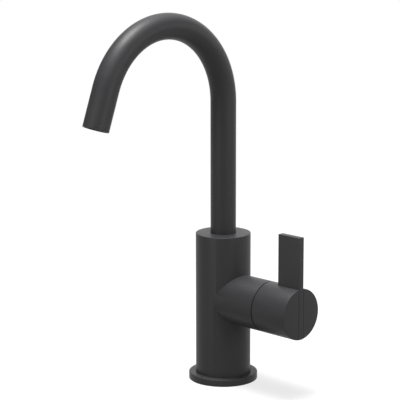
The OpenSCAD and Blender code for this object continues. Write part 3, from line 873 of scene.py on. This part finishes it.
@dataclass
class Handle:
    """The barrel, the blade that stands in its slot, and the screw that holds both on the stem.

    Attributes:
        rim: Rounding of the barrel's end.
        lip: Rounding of its other rim, at the groove.
        slot_gap: The gap on each side of the blade.
        slot_flare: Chamfer of the slot's mouth.
        blade_edge: Rounding of the blade's edges.
        foot_steps: Straight steps along the blade's round foot.
        cup_gap: How far the barrel's cup clears the housing's corner.
        cup_steps: Straight steps along the cup's arc.
        boss: Radius of the boss that holds the stem.
        boss_start: Distance of the boss from the pivot.
        web: The wall between the cup and the slot.
    """

    rim: float = 0.55 * MM
    lip: float = 0.2 * MM
    slot_gap: float = 0.12 * MM
    slot_flare: float = 0.1 * MM
    blade_edge: float = 0.35 * MM
    foot_steps: int = 8
    cup_gap: float = 0.35 * MM
    cup_steps: int = 48
    boss: float = 6.0 * MM
    boss_start: float = 12.0 * MM
    web: float = 1.3 * MM

    def __post_init__(self) -> None:
        """Reads the handle's sizes from the frame."""
        self.pivot = joint_place("flow_tilt")
        barrel_low, barrel_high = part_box("handle_barrel")
        self.start, self.end = barrel_low.x, barrel_high.x
        self.radius = barrel_high.y
        self.blade_low, self.blade_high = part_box("lever_blade")
        self.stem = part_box("cartridge_stem")[1]
        self.corner = hypot(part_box("body_shell")[1].x - self.pivot.x, self.radius)

    def slot(self) -> Iterator[Piece]:
        """Makes the tools that cut the blade's slot, with its flared mouth.

        Returns:
            Each tool in turn.
        """
        half = self.blade_high.y + self.slot_gap
        flare = half + self.slot_flare
        tall = self.radius + OVERRUN
        floor, past, level = self.blade_low.x, self.end + OVERRUN, self.pivot.z
        corner = Vector((floor, -half, level - tall))
        yield block("slot", corner, Vector((past, half, level + tall)))
        near = self.end - self.slot_flare
        wide = flare + OVERRUN
        face = [(near, -half), (near, half), (past, wide), (past, -wide)]
        yield prism("slot_face", face, 2 * tall, Matrix.Translation((0, 0, level - tall)))
        for side in (-1, 1):
            deep = side * (sqrt(self.radius ** 2 - flare ** 2) - self.slot_flare)
            far = side * tall
            spread = abs(far - deep)
            mouth = [(-half, level + deep), (half, level + deep),
                     (half + spread, level + far), (-half - spread, level + far)]
            yield prism("slot_mouth", mouth, self.end - floor + OVERRUN, across_handle(floor))

    def stem_room(self, reach: float, gap: float) -> Piece:
        """Makes the tool for the stem's square hole.

        Args:
            reach: Where the hole ends along the axis.
            gap: The gap round the stem.

        Returns:
            The tool.
        """
        side = self.stem.y + gap
        start = self.pivot.x + self.boss_start - OVERRUN
        corner = Vector((start, -side, self.pivot.z - side))
        return block("stem_room", corner, Vector((reach, side, self.pivot.z + side)))

    def barrel(self) -> Piece:
        """Builds the barrel with its round cup, its boss and the slot.

        Returns:
            The barrel.
        """
        axis = along_handle(self.pivot)
        start, end = self.start - self.pivot.x, self.end - self.pivot.x
        piece = rod("handle_barrel_black", self.radius, start, end, axis, self.lip, self.rim)
        cup = self.corner + self.cup_gap
        seat = self.blade_low.x - self.pivot.x
        floor = seat - self.web
        span = pi - acos(floor / cup)
        bowl = [(x, -y) for x, y in arc(cup, 0, span, self.cup_steps)]
        carve(piece, Carving.CUT, revolve("cup", [*bowl, (0, floor)], axis))
        carve(piece, Carving.FUSE, rod("boss", self.boss, self.boss_start, seat, axis))
        room = self.stem_room(self.stem.x, FIT)
        low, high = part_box("screw_plug")
        spot = ((low.x + high.x) / 2, 0, (low.z + high.z) / 2)
        hole = drill("grub_hole", spot, (high.x - low.x) / 2 + FIT, self.radius + OVERRUN)
        carve(piece, Carving.CUT, room, *self.slot(), hole)
        smooth(piece)
        return stand_in(piece, Body.HANDLE, COAT, "handle_barrel")

    def blade(self) -> Piece:
        """Builds the flat blade, flush with the barrel's end and round below.

        Returns:
            The blade.
        """
        half = self.blade_high.y
        spread = asin(half / self.radius)
        foot = arc(self.radius, spread, -spread, self.foot_steps)
        outline = [(-half, self.blade_high.z), (half, self.blade_high.z)]
        outline += [(across, self.pivot.z - drop) for across, drop in foot]
        width = self.blade_high.x - self.blade_low.x
        piece = prism("lever_blade_black", outline, width, across_handle(self.blade_low.x))
        soften(piece, self.blade_edge)
        carve(piece, Carving.CUT, self.stem_room(self.stem.x + self.slot_gap, self.slot_gap))
        smooth(piece)
        return stand_in(piece, Body.HANDLE, COAT, "lever_blade")

    def build(self) -> Iterator[Piece]:
        """Builds the handle's pieces and dresses the stem and the screw.

        Returns:
            Each piece in turn.
        """
        yield from (self.barrel(), self.blade())
        yield from dress({"cartridge_stem": BRASS}, along_handle(self.pivot))
        yield from dress({"handle_grub_screw": STEEL, "screw_plug": BLACK_PLASTIC})


@dataclass
class Spout:
    """The gooseneck tube that turns in the column, and the outlet at its end.

    Attributes:
        bend_radius: Radius of the bend's centre line.
        bend_angle: Angle of the bend, in degrees.
        end_length: Straight length after the bend.
        wall: Wall of the tube.
        rim: Rounding of the tube's end.
        bush_rim: Rounding of the bush's face.
        bush_depth: How far the bush stands back in the tube.
        bush_length: The bush's length.
        thread_length: The length of its wider bore, for the aerator.
        steps: Rings along the tube.
        sides: Faces round it.
    """

    bend_radius: float = 69.3 * MM
    bend_angle: float = 160.0
    end_length: float = 33.4 * MM
    wall: float = 1.5 * MM
    rim: float = 0.3 * MM
    bush_rim: float = 0.2 * MM
    bush_depth: float = 0.6 * MM
    bush_length: float = 12.0 * MM
    thread_length: float = 9.0 * MM
    steps: int = 230
    sides: int = 112

    def __post_init__(self) -> None:
        """Reads the tube's sizes from the frame."""
        low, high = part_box("spout_tube")
        self.radius = high.x
        self.start = low.z
        self.bend_height = high.z - self.bend_radius - self.radius

    def mouth(self, depth: float = 0.0) -> Matrix:
        """A frame on the outlet's axis, Z out of the spout, at a depth inside the tube's end."""
        bend = turned((0, -self.bend_radius, self.bend_height), self.bend_angle, 0, 0)
        return bend @ Matrix.Translation((0, self.bend_radius, self.end_length - depth))

    def tube(self) -> Piece:
        """Builds the tube, with its wall and a rounded end.

        Returns:
            The tube.
        """
        piece = bent_tube("spout_tube_black", {
            "Start height": self.start, "Riser": self.bend_height - self.start,
            "Bend radius": self.bend_radius, "Bend angle": radians(self.bend_angle),
            "End length": self.end_length, "Radius": self.radius,
        }, self.steps, self.sides)
        shell = piece.modifiers.new("wall", "SOLIDIFY")
        shell.thickness = self.wall
        shell.offset = -1
        bake(piece)
        soften(piece, self.rim, limit=60.0)
        smooth(piece, limit=40.0)
        return stand_in(piece, Body.SPOUT, COAT, "spout_tube")

    def bush(self) -> Piece:
        """Builds the bush in the tube's end, with room for the aerator.

        Returns:
            The bush.
        """
        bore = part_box("aerator_insert")[1].x + FIT
        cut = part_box("aerator_housing")[1].x + FIT
        outside = self.radius - self.wall
        piece = revolve("outlet_bush_black", rounded_outline([
            (bore, -self.bush_length, 0), (outside, -self.bush_length, 0),
            (outside, 0, self.bush_rim), (cut, 0, self.bush_rim),
            (cut, -self.thread_length, 0), (bore, -self.thread_length, 0),
        ]), self.mouth(self.bush_depth))
        smooth(piece)
        return stand_in(piece, Body.SPOUT, COAT, "outlet_bush")

    def build(self) -> Iterator[Piece]:
        """Builds the tube and the bush, and dresses the rest.

        Returns:
            Each piece in turn.
        """
        yield from (self.tube(), self.bush())
        yield from dress({
            "spout_spigot": BRASS, "spout_o_rings": RUBBER, "spout_slip_ring": NYLON,
        })
        yield from dress({
            "aerator_washer": RUBBER, "aerator_screen": STEEL,
            "aerator_insert": PLASTIC, "aerator_housing": BLACK_PLASTIC,
        }, self.mouth())


# The studio


def facing(target: Vector, azimuth: float, elevation: float, distance: float) -> Matrix:
    """Finds the frame of a lamp or camera that stands off a target and faces it.

    Args:
        target: The point that it faces.
        azimuth: Where it stands, in degrees anticlockwise from +X, seen from above.
        elevation: Its height above the horizon, in degrees.
        distance: Its distance from the target.

    Returns:
        The frame.
    """
    turn, rise = radians(azimuth), radians(elevation)
    way = Vector((cos(turn) * cos(rise), sin(turn) * cos(rise), sin(rise)))
    look = way.to_track_quat("Z", "Y").to_matrix().to_4x4()
    return Matrix.Translation(target + way * distance) @ look


@dataclass(frozen=True)
class SoftBox:
    """A soft area lamp that is aimed at the tap.

    Attributes:
        name: The lamp's name.
        azimuth: Where it stands, in degrees anticlockwise from +X, seen from above.
        elevation: Its height above the horizon, in degrees.
        size: Its width and height.
        power: Its power in watts.
        distance: Its distance from the target.
    """

    name: str
    azimuth: float
    elevation: float
    size: tuple[float, float]
    power: float
    distance: float = 2.0

    def place(self, target: Vector) -> Piece:
        """Puts the lamp in the scene.

        Args:
            target: The point that it is aimed at.

        Returns:
            The lamp's object.
        """
        lamp = bpy.data.lights.new(self.name, "AREA")
        lamp.shape = "RECTANGLE"
        lamp.size, lamp.size_y = self.size
        lamp.energy = self.power
        holder = bpy.data.objects.new(self.name, lamp)
        holder.matrix_world = facing(target, self.azimuth, self.elevation, self.distance)
        bpy.context.scene.collection.objects.link(holder)
        return holder


@dataclass
class Studio:
    """A pale floor, a dark drape, soft lamps and a camera at the photograph's angle.

    Attributes:
        target: The point that the camera and the lamps are aimed at.
        azimuth: The camera's angle round the tap, in degrees; 0 looks along +Y.
        elevation: Its angle above the horizon, in degrees.
        roll: Its roll, in degrees.
        distance: Its distance from the target.
        lens: Its focal length, in millimetres.
        sensor: The width of its sensor, in millimetres.
        ambient: The strength of the world's light on the tap.
        floor_size: The length of the floor's sides.
        floor_colour: The floor's grey for the camera.
        floor_bounce: The floor's grey for light that it throws back on the tap.
        floor_glow: How much of the floor near the tap shows plain white.
        glow_reach: Where the floor starts to turn, and has turned, plain white.
        drape: The distance and height of the dark drape.
        drape_span: The first and last azimuth of the drape, in degrees.
        drape_steps: Its flat strips.
        drape_colour: Its grey.
        lamps: The lamps.
    """

    target: tuple[float, float, float] = (-0.0142, -0.01426, 0.15945)
    azimuth: float = 45.11
    elevation: float = 11.63
    roll: float = -0.12
    distance: float = 1.5
    lens: float = 156.03
    sensor: float = 36.0
    ambient: float = 0.03
    floor_size: float = 30.0
    floor_colour: float = 0.8
    floor_bounce: float = 0.15
    floor_glow: float = 0.75
    glow_reach: tuple[float, float] = (0.3, 1.0)
    drape: tuple[float, float] = (3.0, 3.6)
    drape_span: tuple[float, float] = (160.0, 440.0)
    drape_steps: int = 28
    drape_colour: float = 0.02
    lamps: tuple[SoftBox, ...] = (
        SoftBox("top", 315, 89.9, (2.0, 2.0), 18.0),
        SoftBox("top_left", 225, 80, (0.9, 0.9), 36.0),
        SoftBox("top_front", 315, 82, (0.7, 0.7), 42.0),
        SoftBox("front_high", 315, 47, (1.6, 0.9), 4.5),
        SoftBox("left_low", 270, 9, (1.0, 0.6), 9.8),
        SoftBox("right_far", 60, 9, (1.0, 0.6), 4.0),
        SoftBox("right_mid", 30, 9, (1.0, 0.6), 5.0),
        SoftBox("right_near", 0, 9, (1.0, 0.6), 7.2),
    )

    def camera(self) -> Piece:
        """Sets up the camera, which looks at the tap from the photograph's side.

        Returns:
            The camera's object.
        """
        lens = bpy.data.cameras.new("camera")
        lens.lens = self.lens
        lens.sensor_width = self.sensor
        lens.clip_end = 100.0
        holder = bpy.data.objects.new("camera", lens)
        tip = Matrix.Rotation(radians(self.roll), 4, "Z")
        stand = self.azimuth - 90, self.elevation, self.distance
        holder.matrix_world = facing(Vector(self.target), *stand) @ tip
        bpy.context.scene.collection.objects.link(holder)
        bpy.context.scene.camera = holder
        return holder

    def floor(self) -> Piece:
        """Lays the pale floor, which keeps a faint shadow.

        Returns:
            The floor.
        """
        half = self.floor_size / 2
        mesh = bmesh.new()
        corners = ((-half, -half), (half, -half), (half, half), (-half, half))
        mesh.faces.new([mesh.verts.new((x, y, 0)) for x, y in corners])
        piece = link("floor", mesh)
        made = bpy.data.materials.new("pale_floor")
        board = blank(made)
        by_camera = board.add("ShaderNodeLightPath").outputs["Is Camera Ray"]
        colour = board.blend(by_camera, grey(self.floor_bounce), grey(self.floor_colour))
        matt = board.out("ShaderNodeBsdfDiffuse", {"Color": colour})
        glow = board.out("ShaderNodeEmission", {"Strength": 1.0})
        spot = board.add("ShaderNodeTexCoord").outputs["Object"]
        away = board.add("ShaderNodeVectorMath", {0: spot}, operation="LENGTH").outputs["Value"]
        start, end = self.glow_reach
        white = board.out("ShaderNodeMapRange", {
            "Value": away, "From Min": start, "From Max": end,
            "To Min": self.floor_glow, "To Max": 1.0,
        })
        share = board.sum_of("MULTIPLY", self.seen(board), white)
        mix = board.out("ShaderNodeMixShader", {0: share, 1: matt, 2: glow})
        board.add("ShaderNodeOutputMaterial", {"Surface": mix})
        piece.data.materials.append(made)
        return piece

    def curtain(self) -> Piece:
        """Hangs the dark drape round the front and the sides.

        It keeps the white out of the coat's near side. The camera and the shadows don't see it.

        Returns:
            The drape.
        """
        far, height = self.drape
        first, last = self.drape_span
        steps = self.drape_steps
        mesh = bmesh.new()
        strips = []
        for turn in (radians(first + (last - first) * k / steps) for k in range(steps + 1)):
            x, y = far * cos(turn), far * sin(turn)
            strips.append([mesh.verts.new((x, y, z)) for z in (MM, height)])
        for (low, high), (low_after, high_after) in zip(strips, strips[1:]):
            mesh.faces.new((low, low_after, high_after, high))
        piece = link("drape", mesh)
        made = bpy.data.materials.new("dark_drape")
        board = blank(made)
        cloth = board.out("ShaderNodeBsdfDiffuse", {"Color": grey(self.drape_colour)})
        board.add("ShaderNodeOutputMaterial", {"Surface": cloth})
        piece.data.materials.append(made)
        piece.visible_camera = False
        piece.visible_shadow = False
        return piece

    @staticmethod
    def seen(board: Board) -> Socket:
        """Tells the rays that show the background: from the camera, off gloss or through glass.

        Args:
            board: The board of the background's material.

        Returns:
            A socket that is 1 for these rays and 0 for the others.
        """
        path = board.add("ShaderNodeLightPath").outputs
        shown = board.sum_of("MAXIMUM", path["Is Camera Ray"], path["Is Glossy Ray"])
        return board.sum_of("MAXIMUM", shown, path["Is Transmission Ray"])

    def world(self) -> bpy.types.World:
        """Makes the white background, which lights the tap more weakly than it shows.

        Returns:
            The world.
        """
        world = bpy.data.worlds.new("studio")
        board = blank(world)
        even, white = (
            board.out("ShaderNodeBackground", {"Color": grey(1), "Strength": strength})
            for strength in (self.ambient, 1.0)
        )
        mix = board.out("ShaderNodeMixShader", {0: self.seen(board), 1: even, 2: white})
        board.add("ShaderNodeOutputWorld", {"Surface": mix})
        bpy.context.scene.world = world
        return world

    def build(self) -> Iterator[bpy.types.ID]:
        """Sets up the camera, the floor, the drape, the world and the lamps.

        Returns:
            Each of them in turn.
        """
        bpy.context.scene.view_settings.view_transform = "Standard"
        yield self.camera()
        yield self.floor()
        yield self.curtain()
        yield self.world()
        for lamp in self.lamps:
            yield lamp.place(Vector(self.target))


def main() -> None:
    """Builds the studio and the tap."""
    logging.basicConfig(level=logging.INFO, format="%(name)s: %(message)s")
    for part in (Studio(), Column(), Waterway(), Cartridge(), Handle(), Spout()):
        for piece in part.build():
            LOG.info("%s: %s", type(part).__name__, piece.name)


if __name__ == "__main__":
    main()
